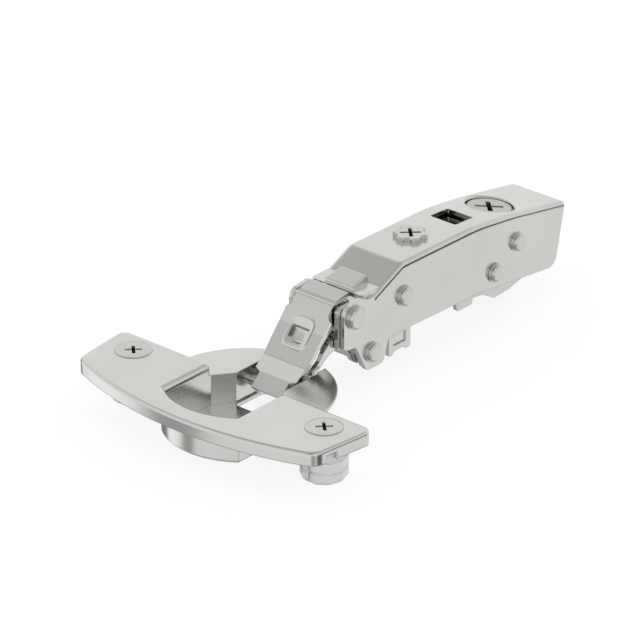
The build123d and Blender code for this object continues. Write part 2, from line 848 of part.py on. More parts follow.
# Adjusting rocker, an inner channel tilted by the side screw about its rivet
web_top = [
    (rocker_front_y, 13.5),
    (62.0, 13.9),
    (70.0, 13.93),
    (rocker_back_y, 12.15),
]
cam_plane = top_plane(cam_y, -slide_slope)
with BuildPart() as adjusting_rocker:
    rocker_profile = side_face(
        *web_top,
        (rocker_back_y, 1.2),
        (66.0, 1.6),
        (52.4, 2.2),
        (51.2, 0.3),
        (47.8, 0.3),
        (rocker_front_y, 2.6),
        radius=(1.2, 8, 8, 1.2, 1, 0, 0.6, 0.6, 0.6, 0.4),
    )
    widen(rocker_profile, channel_half_width)
    widen(
        side_face((44, -9), (44, 12.5), *lowered(web_top, channel_sheet), (95, 11), (95, -9)),
        channel_inner_half,
        mode=Mode.SUBTRACT,
    )
    for place in (rocker_rivet_place, guide_rivet_place):
        clearance = running_clearance if place is rocker_rivet_place else rivet_seat_clearance
        widen(disc_face(place, rear_rivet_shank + clearance), channel_half_width, mode=Mode.SUBTRACT)
    with BuildSketch(top_plane(side_screw_y)) as nut_hole:
        Circle(side_screw_shank + nut_hole_clearance)
    extrude(nut_hole.sketch, amount=-6, mode=Mode.SUBTRACT)
    with BuildSketch(top_plane(hand_hole_y)) as window:
        RectangleRounded(hand_hole_width, hand_hole_length, 0.4)
    extrude(window.sketch, amount=-6, mode=Mode.SUBTRACT)
    with BuildSketch(cam_plane) as seat_cut:
        Circle(cam_radius + 0.6)
    seat_depth = cam_sink + cam_thickness
    extrude(seat_cut.sketch, amount=-seat_depth, mode=Mode.SUBTRACT)
    with BuildSketch(cam_plane) as axle_hole:
        Circle(cam_axle_radius + running_clearance)
    extrude(axle_hole.sketch, amount=-seat_depth - 2 * channel_sheet, mode=Mode.SUBTRACT)
adjusting_rocker.part.label = "adjusting_rocker"

# Side adjusting screw, captive in the arm's top sheet
screw_plane = top_plane(side_screw_y)
with BuildPart() as side_adjusting_screw:
    with BuildSketch(screw_plane) as head_plan:
        Circle(side_screw_head)
        with PolarLocations(side_screw_head + 0.25, side_screw_notches):
            Circle(side_screw_notch_radius, mode=Mode.SUBTRACT)
    extrude(head_plan.sketch, amount=side_screw_head_height)
    chamfer(side_adjusting_screw.faces().sort_by(Axis.Z)[-1].edges(), 0.2)
    with BuildSketch(screw_plane) as shank_plan:
        Circle(side_screw_shank)
    extrude(shank_plan.sketch, amount=-side_screw_length)
    with BuildSketch(screw_plane.offset(-housing_sheet - 0.1)) as collar_plan:
        Circle(retaining_collar_radius)
    extrude(collar_plan.sketch, amount=-retaining_collar_height)
    top_of_head = screw_plane.offset(side_screw_head_height)
    cut_cross(top_of_head, 1.4, 4.4, 0.8)
side_adjusting_screw.part.label = "side_adjusting_screw"

# Depth adjusting cam, a disc set in the arm's dished hole, with a finger off centre
with BuildPart() as depth_adjusting_cam:
    with BuildSketch(cam_plane.offset(-cam_sink)) as disc_plan:
        Circle(cam_radius)
    extrude(disc_plan.sketch, amount=-cam_thickness)
    chamfer(depth_adjusting_cam.faces().sort_by(Axis.Z)[-1].edges(), 0.25)
    with BuildSketch(cam_plane.offset(-cam_sink - cam_thickness)) as axle_plan:
        Circle(cam_axle_radius)
    extrude(axle_plan.sketch, amount=-channel_sheet - cam_web_gap / 2)
    with BuildSketch(cam_plane.offset(-cam_sink - cam_thickness - channel_sheet)) as finger_plan:
        with Locations((cam_throw, 0)):
            Circle(cam_finger_radius)
    extrude(finger_plan.sketch, amount=-cam_web_gap - channel_sheet - 0.6)
    cut_cross(cam_plane.offset(-cam_sink), 1.5, 6.2, 1.1)
depth_adjusting_cam.part.label = "depth_adjusting_cam"

# Mounting carriage, the innermost channel that clips to the plate on the cabinet
depth_travel = cam_throw * sin(radians(cam_turn))
carriage_drop = cam_sink + cam_thickness + channel_sheet + cam_web_gap
slide_y = cos(radians(slide_slope))
slide_z = -sin(radians(slide_slope))


def below_cam(along, drop):
    """Point as (y, z), at a distance along the slide from the cam and a depth below it."""
    y0, z0 = cam_y, top_height(cam_y)[0]
    return y0 + along * slide_y + drop * slide_z, z0 + along * slide_z - drop * slide_y


with BuildPart() as mounting_carriage:
    carriage_profile = side_face(
        (60.4, -1.0),
        (60.4, 9.3),
        (66.5, 9.6),
        below_cam(-7.6, carriage_drop),
        below_cam(10.4, carriage_drop),
        (carriage_back_y, carriage_back_z),
        (carriage_back_y, 1.0),
        (84.2, -2.9),
        (79.3, -4.05),
        (74.1, -4.35),
        (70.0, -2.1),
        (66.7, -1.7),
        (66.7, -3.0),
        (61.6, -3.0),
        (61.0, -1.0),
        radius=(0.5, 1.2, 1.5, 1.5, 1.2, 1.2, 1, 1, 0.6, 0.6, 0.4, 0, 0.6, 0.6, 0),
    )
    widen(carriage_profile, carriage_half_width)
    hollow_top = [
        (57.0, 8.35),
        (66.8, 8.6),
        below_cam(-7.4, carriage_drop + channel_sheet),
        below_cam(9.9, carriage_drop + channel_sheet),
        (carriage_back_y - channel_sheet, carriage_back_z - 0.3),
        (carriage_back_y - channel_sheet, tail_opening_z),
        (95.0, tail_opening_z),
    ]
    widen(side_face((57, -9), *hollow_top, (95, -9)), carriage_inner_half, mode=Mode.SUBTRACT)
    for place in (rocker_rivet_place, guide_rivet_place):
        pin_slot = slot_face(
            place,
            depth_travel + slot_end_clearance,
            rear_rivet_shank + slot_side_clearance,
            -slide_slope,
        )
        widen(pin_slot, carriage_half_width, mode=Mode.SUBTRACT)
    catch_bore = disc_face(catch_pivot, catch_pin_radius + rivet_seat_clearance)
    widen(catch_bore, carriage_half_width, mode=Mode.SUBTRACT)
    with BuildSketch(cam_plane.offset(-carriage_drop + 1)) as finger_slot:
        SlotCenterToCenter(2 * cam_throw, 2 * (cam_finger_radius + finger_clearance))
    extrude(finger_slot.sketch, amount=-4, mode=Mode.SUBTRACT)
mounting_carriage.part.label = "mounting_carriage"

# Release catch, a lever on its own pin at the arm's rear
with BuildPart() as release_catch:
    catch_half = carriage_inner_half - catch_side_clearance
    catch_profile = side_face(
        (80.6, -3.0),
        (83.4, -0.6),
        (84.2, 7.0),
        (88.8, 7.2),
        (91.0, 5.4),
        (95.2, 5.6),
        (95.2, 4.4),
        (91.4, 3.6),
        (89.2, 0.6),
        (86.4, -2.2),
        (82.6, -3.9),
        radius=(0.4, 1.5, 1.4, 1.4, 1, 0.4, 0.4, 1.2, 1.5, 1.5, 0.6),
    )
    widen(catch_profile, catch_half)
    widen(
        side_face((78, -9), (78, 12), (90.9, 12), (90.9, -9)),
        catch_half - catch_sheet,
        mode=Mode.SUBTRACT,
    )
    catch_eye = disc_face(catch_pivot, catch_pin_radius + running_clearance)
    widen(catch_eye, catch_half, mode=Mode.SUBTRACT)
release_catch.part.label = "release_catch"

with BuildPart() as catch_pin:
    widen(disc_face(catch_pivot, catch_pin_radius), carriage_half_width)
catch_pin.part.label = "catch_pin"

catch_coil_radius = catch_pin_radius + catch_wire_radius + 0.12
catch_room = 2 * (catch_half - catch_sheet - catch_spring_side_gap - catch_wire_radius)
catch_spring_turns = int(catch_room / (2 * catch_wire_radius + coil_gap))
catch_spring = coil_spring(
    catch_pivot,
    catch_coil_radius,
    catch_wire_radius,
    catch_spring_turns,
    entry_leg=(2.2, (1.2, 0.3)),
    exit_leg=(2.2, (-0.8, 0.5)),
)
catch_spring.part.label = "catch_spring"

pieces = [
    hinge_cup,
    flange_screw_left,
    flange_screw_right,
    press_in_dowel_left,
    press_in_dowel_right,
    outer_link_pin,
    inner_link_pin,
    outer_link,
    inner_link,
    arm_housing,
    bearing_channel,
    upper_pivot_rivet,
    lower_pivot_rivet,
    spring_rivet,
    closing_spring,
    adjusting_rocker,
    rocker_pivot_rivet,
    guide_rivet,
    side_adjusting_screw,
    depth_adjusting_cam,
    mounting_carriage,
    release_catch,
    catch_pin,
    catch_spring,
]

os.makedirs("parts", exist_ok=True)
for piece in pieces:
    export_step(piece.part, f"parts/{piece.part.label}.step")
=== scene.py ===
"""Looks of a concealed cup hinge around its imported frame: finishes, threads, studio and camera."""
import math

import bpy
import numpy as np
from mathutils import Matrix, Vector


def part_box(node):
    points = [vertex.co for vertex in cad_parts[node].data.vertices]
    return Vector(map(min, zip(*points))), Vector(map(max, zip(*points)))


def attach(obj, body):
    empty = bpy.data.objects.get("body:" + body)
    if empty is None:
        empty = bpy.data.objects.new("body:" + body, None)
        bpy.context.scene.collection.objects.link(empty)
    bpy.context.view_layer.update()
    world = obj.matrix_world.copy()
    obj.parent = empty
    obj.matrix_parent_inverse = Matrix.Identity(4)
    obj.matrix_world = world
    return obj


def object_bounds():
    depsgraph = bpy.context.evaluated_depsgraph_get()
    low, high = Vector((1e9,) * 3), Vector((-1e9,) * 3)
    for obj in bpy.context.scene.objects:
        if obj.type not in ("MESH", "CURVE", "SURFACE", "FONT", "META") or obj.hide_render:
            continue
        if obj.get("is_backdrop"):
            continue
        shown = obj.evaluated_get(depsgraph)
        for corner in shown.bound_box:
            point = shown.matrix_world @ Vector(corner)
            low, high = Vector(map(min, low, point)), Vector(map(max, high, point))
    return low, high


bl_info = {
    "name": "Concealed Cup Hinge",
    "version": (1, 0, 0),
    "blender": (4, 5, 0),
    "location": "View3D > Sidebar > Hinge",
    "description": "Finishes, screw threads and studio for a concealed cup hinge",
    "category": "Object",
}

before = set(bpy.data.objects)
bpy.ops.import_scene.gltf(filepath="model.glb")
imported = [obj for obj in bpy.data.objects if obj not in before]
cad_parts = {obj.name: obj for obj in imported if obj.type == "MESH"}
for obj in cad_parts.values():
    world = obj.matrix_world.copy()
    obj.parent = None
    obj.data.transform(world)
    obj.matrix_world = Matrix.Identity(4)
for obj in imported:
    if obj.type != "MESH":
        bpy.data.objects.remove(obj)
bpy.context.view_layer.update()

MM = 0.001

# Which pieces share a finish
CUP_NODES = ("hinge_cup",)
LINK_NODES = ("outer_link", "inner_link")
ARM_NODES = ("arm_housing", "bearing_channel")
CARRIAGE_NODES = ("adjusting_rocker", "mounting_carriage", "release_catch")
PIVOT_NODES = (
    "upper_pivot_rivet",
    "lower_pivot_rivet",
    "spring_rivet",
    "rocker_pivot_rivet",
    "guide_rivet",
    "outer_link_pin",
    "inner_link_pin",
    "catch_pin",
)

# Driver recesses of the screws and the cam, where painted shade darkens the colour: how far under
# the node's top the face lies, its axis, and the recess's reach from the axis
SCREW_RECESSES = {
    "flange_screw_left": (0.08 * MM, (0.0, 0.0, 1.0), 2.0 * MM),
    "flange_screw_right": (0.08 * MM, (0.0, 0.0, 1.0), 2.0 * MM),
    "side_adjusting_screw": (0.03 * MM, (0.0, 0.01, 1.0), 2.7 * MM),
    "depth_adjusting_cam": (0.57 * MM, (0.0, 0.122, 0.993), 3.6 * MM),
}

DOWEL_NODES = ("press_in_dowel_left", "press_in_dowel_right")
SPRING_NODES = ("closing_spring", "catch_spring")

# Side screw: its shank, and where its thread starts over the shank's end and how long it is
SHANK_RADIUS = 2.1 * MM
THREAD_FOOT = 0.4 * MM
THREAD_LENGTH = 5.0 * MM

# Floor's half width, and how far it lies under the part
FLOOR_HALF = 2.5
FLOOR_GAP = 0.05 * MM

# Soft lights as (name, place, size, power), aimed at one point of the part
LIGHT_AIM = (0.0, 0.025, 0.0)
BACK_LIGHT = ("back_light", (-0.47, 0.54, 0.36), (0.75, 0.5), 0.08)
TOP_LIGHT = ("top_light", (-0.1, 0.0, 0.8), (0.5, 0.5), 0.7)

# Camera, as the photograph was taken
CAMERA_PLACE = Vector((538.5, -598.2, 414.5)) * MM
CAMERA_AZIMUTH = math.radians(40.911)
CAMERA_ELEVATION = math.radians(26.327)
CAMERA_LENS = 249.83
CAMERA_SENSOR = 36.0

# Grey of the studio by the height of the direction that is looked in, from below to overhead
STUDIO_BANDS = (
    (-1.0, 0.6),
    (-0.8, 0.42),
    (-0.66, 0.45),
    (-0.52, 0.92),
    (0.0, 0.95),
    (0.3, 0.92),
    (0.44, 0.88),
    (0.62, 0.88),
    (0.71, 0.62),
    (0.84, 0.54),
)

# Patches of the studio that change its grey, as (direction, edge angle, full angle, factor)
STUDIO_PATCHES = (
    ((0.74, 0.67, -0.03), 15.0, 11.0, 0.02),
    ((0.92, 0.38, -0.03), 15.0, 10.0, 0.08),
    ((0.99, 0.02, -0.03), 14.0, 8.0, 0.35),
    ((-0.94, 0.25, -0.10), 17.0, 10.0, 0.12),
    ((0.88, 0.02, -0.43), 20.0, 12.0, 0.15),
    ((-0.88, 0.18, -0.44), 15.0, 9.0, 0.2),
    ((0.70, -0.57, -0.43), 15.0, 8.0, 0.45),
    ((-0.60, -0.65, -0.47), 12.0, 5.0, 0.4),
    ((-0.89, -0.15, -0.44), 25.0, 8.0, 1.3),
    ((-0.59, -0.47, 0.66), 7.0, 2.0, 0.68),
    ((-0.59, -0.25, 0.76), 8.0, 3.0, 1.6),
    ((0.37, -0.59, 0.72), 17.0, 10.0, 0.15),
)

# Coined recess of the outer link: its middle on the web, the run and rise of the web there, and
# where along the recess the web bends outwards and by what slope
RECESS_CENTRE = (0.0, 16.6, 7.233)
WEB_RUN, WEB_RISE = 5.2, 5.7
WEB_BEND = (0.95, 0.033)

# Rings of the recess as (half width, half length, height over the web, shift across, shift
# along), from the rim's foot to the floor
RECESS_RINGS = (
    (3.30, 3.75, -0.03, 0.0, 0.0),
    (3.20, 3.65, 0.06, 0.0, 0.0),
    (3.05, 3.45, 0.16, 0.0, 0.0),
    (2.88, 3.25, 0.19, 0.0, 0.0),
    (2.72, 3.05, 0.15, 0.0, 0.0),
    (2.48, 2.74, 0.05, 0.0, 0.0),
    (2.30, 2.50, 0.01, 0.0, 0.0),
    (2.16, 2.34, -0.08, 0.0, 0.0),
    (1.74, 1.90, -0.38, 0.26, -0.16),
    (1.50, 1.62, -0.56, 0.44, -0.32),
    (1.36, 1.46, -0.60, 0.46, -0.36),
    (0.60, 0.65, -0.61, 0.46, -0.36),
    (0.01, 0.01, -0.61, 0.46, -0.36),
)


class HINGE_PG_finish(bpy.types.PropertyGroup):
    """Colours and sizes of the hinge's finishes."""

    sheet_colour: bpy.props.FloatVectorProperty(
        name="Plated sheet",
        description="Colour of the nickel-plated pressed steel",
        subtype="COLOR",
        size=3,
        min=0.0,
        max=1.0,
        default=(0.68, 0.675, 0.655),
    )
    rivet_colour: bpy.props.FloatVectorProperty(
        name="Rivets and pins",
        description="Colour of the plated rivets and pins",
        subtype="COLOR",
        size=3,
        min=0.0,
        max=1.0,
        default=(0.65, 0.645, 0.62),
    )
    screw_colour: bpy.props.FloatVectorProperty(
        name="Screws",
        description="Colour of the plated screws",
        subtype="COLOR",
        size=3,
        min=0.0,
        max=1.0,
        default=(0.64, 0.635, 0.61),
    )
    cam_colour: bpy.props.FloatVectorProperty(
        name="Depth cam",
        description="Colour of the depth cam's duller face",
        subtype="COLOR",
        size=3,
        min=0.0,
        max=1.0,
        default=(0.50, 0.49, 0.46),
    )
    spring_colour: bpy.props.FloatVectorProperty(
        name="Spring wire",
        description="Colour of the drawn spring wire",
        subtype="COLOR",
        size=3,
        min=0.0,
        max=1.0,
        default=(0.30, 0.29, 0.28),
    )
    dowel_colour: bpy.props.FloatVectorProperty(
        name="Dowel plastic",
        description="Colour of the natural plastic of the dowels",
        subtype="COLOR",
        size=3,
        min=0.0,
        max=1.0,
        default=(0.97, 0.98, 0.98),
    )
    edge_radius: bpy.props.FloatProperty(
        name="Edge softness",
        description="Radius of the softened edges that catch the light",
        unit="LENGTH",
        min=0.0,
        max=0.001,
        default=0.00016,
    )
    thread_pitch: bpy.props.FloatProperty(
        name="Thread pitch",
        description="Pitch of the side screw's thread",
        unit="LENGTH",
        min=0.0003,
        max=0.002,
        default=0.0008,
    )
    thread_height: bpy.props.FloatProperty(
        name="Thread height",
        description="Height of the side screw's thread over its shank",
        unit="LENGTH",
        min=0.0,
        max=0.0005,
        default=0.0001,
    )


def add_socket(group, name, kind, in_out, default=None):
    """One named input or output of a node group."""
    socket = group.interface.new_socket(name=name, in_out=in_out, socket_type=kind)
    if default is not None:
        socket.default_value = default
    return socket


def soft_edge_group():
    """Edge mask for a painted edge highlight, and softened normal: the angle between the true and a
    rounded normal.
    """
    name = "soft_edges"
    if name in bpy.data.node_groups:
        return bpy.data.node_groups[name]
    group = bpy.data.node_groups.new(name, "ShaderNodeTree")
    add_socket(group, "Radius", "NodeSocketFloat", "INPUT", 0.0001)
    add_socket(group, "Contrast", "NodeSocketFloat", "INPUT", 3.0)
    add_socket(group, "Normal", "NodeSocketVector", "OUTPUT")
    add_socket(group, "Edge", "NodeSocketFloat", "OUTPUT")
    nodes, links = group.nodes, group.links
    source = nodes.new("NodeGroupInput")
    sink = nodes.new("NodeGroupOutput")
    bevel = nodes.new("ShaderNodeBevel")
    bevel.samples = 6
    geometry = nodes.new("ShaderNodeNewGeometry")
    dot = nodes.new("ShaderNodeVectorMath")
    dot.operation = "DOT_PRODUCT"
    inverse = nodes.new("ShaderNodeMath")
    inverse.operation = "SUBTRACT"
    inverse.inputs[0].default_value = 1.0
    scale = nodes.new("ShaderNodeMath")
    scale.operation = "MULTIPLY"
    scale.use_clamp = True
    links.new(source.outputs["Radius"], bevel.inputs["Radius"])
    links.new(bevel.outputs["Normal"], dot.inputs[0])
    links.new(geometry.outputs["True Normal"], dot.inputs[1])
    links.new(dot.outputs["Value"], inverse.inputs[1])
    links.new(inverse.outputs[0], scale.inputs[0])
    links.new(source.outputs["Contrast"], scale.inputs[1])
    links.new(bevel.outputs["Normal"], sink.inputs["Normal"])
    links.new(scale.outputs[0], sink.inputs["Edge"])
    return group


def grain_group():
    """Rolled-sheet grain: noise stretched along the arm, and a soft cloud over it."""
    name = "rolled_grain"
    if name in bpy.data.node_groups:
        return bpy.data.node_groups[name]
    group = bpy.data.node_groups.new(name, "ShaderNodeTree")
    add_socket(group, "Stretch", "NodeSocketVector", "INPUT", (1.0, 1.0, 1.0))
    add_socket(group, "Grain Scale", "NodeSocketFloat", "INPUT", 6000.0)
    add_socket(group, "Cloud Scale", "NodeSocketFloat", "INPUT", 60.0)
    add_socket(group, "Grain", "NodeSocketFloat", "OUTPUT")
    add_socket(group, "Cloud", "NodeSocketFloat", "OUTPUT")
    nodes, links = group.nodes, group.links
    source = nodes.new("NodeGroupInput")
    sink = nodes.new("NodeGroupOutput")
    coordinate = nodes.new("ShaderNodeTexCoord")
    stretch = nodes.new("ShaderNodeVectorMath")
    stretch.operation = "MULTIPLY"
    grain = nodes.new("ShaderNodeTexNoise")
    grain.inputs["Detail"].default_value = 3.0
    cloud = nodes.new("ShaderNodeTexNoise")
    cloud.inputs["Detail"].default_value = 2.0
    links.new(coordinate.outputs["Object"], stretch.inputs[0])
    links.new(source.outputs["Stretch"], stretch.inputs[1])
    links.new(stretch.outputs[0], grain.inputs["Vector"])
    links.new(source.outputs["Grain Scale"], grain.inputs["Scale"])
    links.new(coordinate.outputs["Object"], cloud.inputs["Vector"])
    links.new(source.outputs["Cloud Scale"], cloud.inputs["Scale"])
    links.new(grain.outputs[0], sink.inputs["Grain"])
    links.new(cloud.outputs[0], sink.inputs["Cloud"])
    return group


def recess_group():
    """Mask of painted shade in a driver recess: near a head's middle and below its face, along its
    axis.
    """
    name = "recess_shade"
    if name in bpy.data.node_groups:
        return bpy.data.node_groups[name]
    group = bpy.data.node_groups.new(name, "ShaderNodeTree")
    add_socket(group, "Middle", "NodeSocketVector", "INPUT")
    add_socket(group, "Axis", "NodeSocketVector", "INPUT", (0.0, 0.0, 1.0))
    add_socket(group, "Reach", "NodeSocketFloat", "INPUT", 0.002)
    add_socket(group, "Shade", "NodeSocketFloat", "OUTPUT")
    nodes, links = group.nodes, group.links
    source = nodes.new("NodeGroupInput")
    sink = nodes.new("NodeGroupOutput")
    coordinate = nodes.new("ShaderNodeTexCoord")
    arm = nodes.new("ShaderNodeVectorMath")
    arm.operation = "SUBTRACT"
    height = nodes.new("ShaderNodeVectorMath")
    height.operation = "DOT_PRODUCT"
    distance = nodes.new("ShaderNodeVectorMath")
    distance.operation = "LENGTH"
    deep = nodes.new("ShaderNodeMapRange")
    deep.inputs["From Min"].default_value = -0.05 * MM
    deep.inputs["From Max"].default_value = -0.35 * MM
    share = nodes.new("ShaderNodeMath")
    share.operation = "DIVIDE"
    near = nodes.new("ShaderNodeMapRange")
    near.inputs["From Min"].default_value = 1.0
    near.inputs["From Max"].default_value = 0.94
    product = nodes.new("ShaderNodeMath")
    product.operation = "MULTIPLY"
    links.new(coordinate.outputs["Object"], arm.inputs[0])
    links.new(source.outputs["Middle"], arm.inputs[1])
    links.new(arm.outputs["Vector"], height.inputs[0])
    links.new(source.outputs["Axis"], height.inputs[1])
    links.new(height.outputs["Value"], deep.inputs["Value"])
    links.new(arm.outputs["Vector"], distance.inputs[0])
    links.new(distance.outputs["Value"], share.inputs[0])
    links.new(source.outputs["Reach"], share.inputs[1])
    links.new(share.outputs[0], near.inputs["Value"])
    links.new(deep.outputs["Result"], product.inputs[0])
    links.new(near.outputs["Result"], product.inputs[1])
    links.new(product.outputs[0], sink.inputs["Shade"])
    return group


def studio_group():
    """Grey of the studio in a direction: bands by height, times the patches on them."""
    name = "studio_tone"
    if name in bpy.data.node_groups:
        return bpy.data.node_groups[name]
    group = bpy.data.node_groups.new(name, "ShaderNodeTree")
    add_socket(group, "Direction", "NodeSocketVector", "INPUT")
    add_socket(group, "Tone", "NodeSocketFloat", "OUTPUT")
    nodes, links = group.nodes, group.links
    source = nodes.new("NodeGroupInput")
    sink = nodes.new("NodeGroupOutput")
    split = nodes.new("ShaderNodeSeparateXYZ")
    half = nodes.new("ShaderNodeMath")
    half.operation = "MULTIPLY_ADD"
    half.inputs[1].default_value = 0.5
    half.inputs[2].default_value = 0.5
    ramp = nodes.new("ShaderNodeValToRGB")
    for height, grey in STUDIO_BANDS:
        stop = ramp.color_ramp.elements.new((height + 1.0) / 2.0)
        stop.color = (grey, grey, grey, 1.0)
    ramp.color_ramp.elements.remove(ramp.color_ramp.elements[0])
    ramp.color_ramp.elements.remove(ramp.color_ramp.elements[-1])
    links.new(source.outputs["Direction"], split.inputs[0])
    links.new(split.outputs["Z"], half.inputs[0])
    links.new(half.outputs[0], ramp.inputs["Fac"])
    tone = ramp.outputs["Color"]
    for direction, edge, full, grey in STUDIO_PATCHES:
        dot = nodes.new("ShaderNodeVectorMath")
        dot.operation = "DOT_PRODUCT"
        dot.inputs[1].default_value = Vector(direction).normalized()
        patch = nodes.new("ShaderNodeMapRange")
        patch.interpolation_type = "SMOOTHSTEP"
        patch.inputs["From Min"].default_value = math.cos(math.radians(edge))
        patch.inputs["From Max"].default_value = math.cos(math.radians(full))
        patch.inputs["To Min"].default_value = 1.0
        patch.inputs["To Max"].default_value = grey
        product = nodes.new("ShaderNodeMath")
        product.operation = "MULTIPLY"
        links.new(source.outputs["Direction"], dot.inputs[0])
        links.new(dot.outputs["Value"], patch.inputs["Value"])
        links.new(tone, product.inputs[0])
        links.new(patch.outputs["Result"], product.inputs[1])
        tone = product.outputs[0]
    links.new(tone, sink.inputs["Tone"])
    return group


def place_group(material, group, **values):
    """A node group placed in a material, with its inputs set by name."""
    node = material.node_tree.nodes.new("ShaderNodeGroup")
    node.node_tree = group
    for name, value in values.items():
        node.inputs[name.replace("_", " ").title()].default_value = value
    return node


def metal(
    name, colour, roughness, stretch, grain_depth, cloudiness, painted_edge_highlight, edge_radius, recess=None
):
    """Plated metal: grain sets roughness and a fine bump, clouds shift its tone, and edges get a
    painted highlight in the colour.

    A recess, given as (middle, axis, reach), gets painted shade: the colour is darkened below the
    head's face.
    """
    material = bpy.data.materials.new(name)
    material.use_nodes = True
    material.diffuse_color = (*colour, 1.0)
    nodes, links = material.node_tree.nodes, material.node_tree.links
    shader = nodes["Principled BSDF"]
    shader.inputs["Metallic"].default_value = 1.0
    edges = place_group(material, soft_edge_group(), radius=edge_radius, contrast=4.0)
    grain = place_group(material, grain_group(), stretch=stretch)
    tone = nodes.new("ShaderNodeMapRange")
    tone.inputs["From Min"].default_value = 0.3
    tone.inputs["From Max"].default_value = 0.7
    tone.inputs["To Min"].default_value = 1.0 - cloudiness
    tone.inputs["To Max"].default_value = 1.0
    # Painted highlight: the edge mask brightens the colour along edges, on top of the cloud tone
    tone_and_edge_highlight = nodes.new("ShaderNodeMath")
    tone_and_edge_highlight.operation = "MULTIPLY_ADD"
    tone_and_edge_highlight.inputs[1].default_value = painted_edge_highlight
    shade = nodes.new("ShaderNodeMix")
    shade.data_type = "RGBA"
    shade.blend_type = "MULTIPLY"
    shade.inputs["Factor"].default_value = 1.0
    shade.inputs["A"].default_value = (*colour, 1.0)
    rough = nodes.new("ShaderNodeMapRange")
    rough.inputs["From Min"].default_value = 0.25
    rough.inputs["From Max"].default_value = 0.75
    rough.inputs["To Min"].default_value = roughness * 0.82
    rough.inputs["To Max"].default_value = roughness * 1.18
    bump = nodes.new("ShaderNodeBump")
    bump.inputs["Strength"].default_value = 0.25
    bump.inputs["Distance"].default_value = grain_depth
    links.new(grain.outputs["Cloud"], tone.inputs["Value"])
    links.new(edges.outputs["Edge"], tone_and_edge_highlight.inputs[0])
    links.new(tone.outputs["Result"], tone_and_edge_highlight.inputs[2])
    # Painted shade: below the head's face and near its middle, the colour is darkened to a fifth
    if recess:
        middle, axis, reach = recess
        painted_recess_shade = place_group(material, recess_group(), middle=middle, axis=axis, reach=reach)
        dim = nodes.new("ShaderNodeMapRange")
        dim.inputs["To Min"].default_value = 1.0
        dim.inputs["To Max"].default_value = 0.2
        dimmed = nodes.new("ShaderNodeMath")
        dimmed.operation = "MULTIPLY"
        links.new(painted_recess_shade.outputs["Shade"], dim.inputs["Value"])
        links.new(tone_and_edge_highlight.outputs[0], dimmed.inputs[0])
        links.new(dim.outputs["Result"], dimmed.inputs[1])
        links.new(dimmed.outputs[0], shade.inputs["B"])
    else:
        links.new(tone_and_edge_highlight.outputs[0], shade.inputs["B"])
    links.new(shade.outputs["Result"], shader.inputs["Base Color"])
    links.new(grain.outputs["Grain"], rough.inputs["Value"])
    links.new(rough.outputs["Result"], shader.inputs["Roughness"])
    links.new(grain.outputs["Grain"], bump.inputs["Height"])
    links.new(edges.outputs["Normal"], bump.inputs["Normal"])
    links.new(bump.outputs["Normal"], shader.inputs["Normal"])
    return material


def dowel_plastic(name, colour, edge_radius):
    """Milky moulded plastic: light passes into it, and a faint cloud varies its gloss."""
    material = bpy.data.materials.new(name)
    material.use_nodes = True
    material.diffuse_color = (*colour, 1.0)
    nodes, links = material.node_tree.nodes, material.node_tree.links
    shader = nodes["Principled BSDF"]
    shader.inputs["Base Color"].default_value = (*colour, 1.0)
    shader.inputs["Subsurface Weight"].default_value = 0.5
    shader.inputs["Subsurface Radius"].default_value = (1.0, 1.0, 1.0)
    shader.inputs["Subsurface Scale"].default_value = 0.0015
    shader.inputs["IOR"].default_value = 1.52
    edges = place_group(material, soft_edge_group(), radius=2 * edge_radius, contrast=3.0)
    grain = place_group(material, grain_group(), grain_scale=500.0, cloud_scale=150.0)
    rough = nodes.new("ShaderNodeMapRange")
    rough.inputs["To Min"].default_value = 0.26
    rough.inputs["To Max"].default_value = 0.44
    bump = nodes.new("ShaderNodeBump")
    bump.inputs["Strength"].default_value = 0.2
    bump.inputs["Distance"].default_value = 0.01 * MM
    links.new(grain.outputs["Cloud"], rough.inputs["Value"])
    links.new(rough.outputs["Result"], shader.inputs["Roughness"])
    links.new(grain.outputs["Grain"], bump.inputs["Height"])
    links.new(edges.outputs["Normal"], bump.inputs["Normal"])
    links.new(bump.outputs["Normal"], shader.inputs["Normal"])
    return material


def dress(nodes, material):
    """Give CAD nodes one finish, by their material slots."""
    for name in nodes:
        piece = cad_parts[name]
        if not piece.material_slots:
            piece.data.materials.append(material)
        for slot in piece.material_slots:
            slot.material = material


def mesh_piece(name, vertices, faces, material, smooth=True):
    """Mesh object at the origin from whole arrays of points and quads."""
    mesh = bpy.data.meshes.new(name)
    mesh.from_pydata(vertices.tolist(), [], faces.tolist())
    mesh.polygons.foreach_set("use_smooth", np.full(len(mesh.polygons), smooth))
    mesh.materials.append(material)
    mesh.update()
    piece = bpy.data.objects.new(name, mesh)
    bpy.context.collection.objects.link(piece)
    return piece


